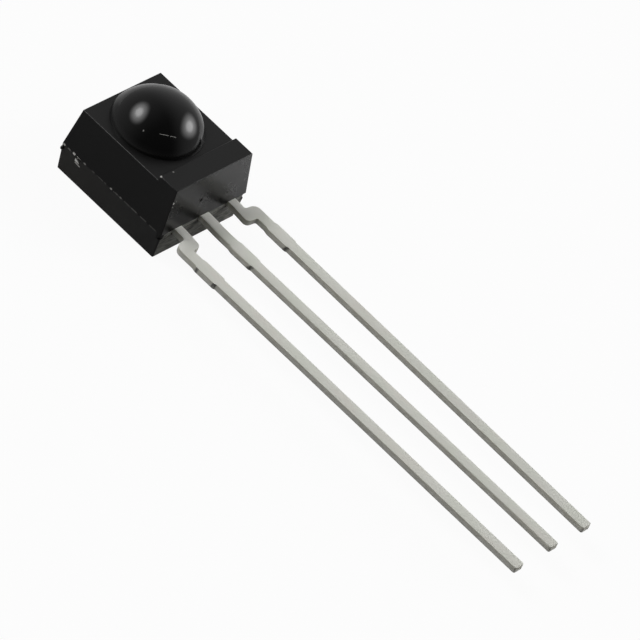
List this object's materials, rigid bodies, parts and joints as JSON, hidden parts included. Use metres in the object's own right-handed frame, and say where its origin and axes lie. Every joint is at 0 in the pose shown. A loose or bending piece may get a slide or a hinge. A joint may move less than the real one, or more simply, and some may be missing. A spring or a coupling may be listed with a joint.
{
  "type": "infrared receiver module",
  "caption": "Side-looking infrared receiver: black moulded body with a domed lens, and a row of straight solder leads, the outer ones jogged outward.",
  "frame": {"origin": "on the flat back face of the moulded body, under the lens axis", "axes": "+Z along the lens axis, away from the back face; -Y along the leads, from the body to their tips; X across the leads"},
  "size_m": [0.006, 0.0309, 0.0055],
  "materials": {
    "black_epoxy": "satin moulded epoxy, glossy on the lens",
    "tinned_lead": "dull tin plating",
    "silicon": "polished silicon",
    "silver_adhesive": "silver-filled adhesive",
    "gold_wire": "drawn gold"
  },
  "bodies": {
    "root": {"moulded_body": "black_epoxy", "output_lead": "tinned_lead", "ground_lead": "tinned_lead", "supply_lead": "tinned_lead", "photodiode_chip": "silicon", "receiver_chip": "silicon", "photodiode_adhesive": "silver_adhesive", "receiver_adhesive": "silver_adhesive", "bond_wire_signal": "gold_wire", "bond_wire_ground": "gold_wire", "bond_wire_output": "gold_wire", "bond_wire_supply": "gold_wire"}
  },
  "joints": []
}
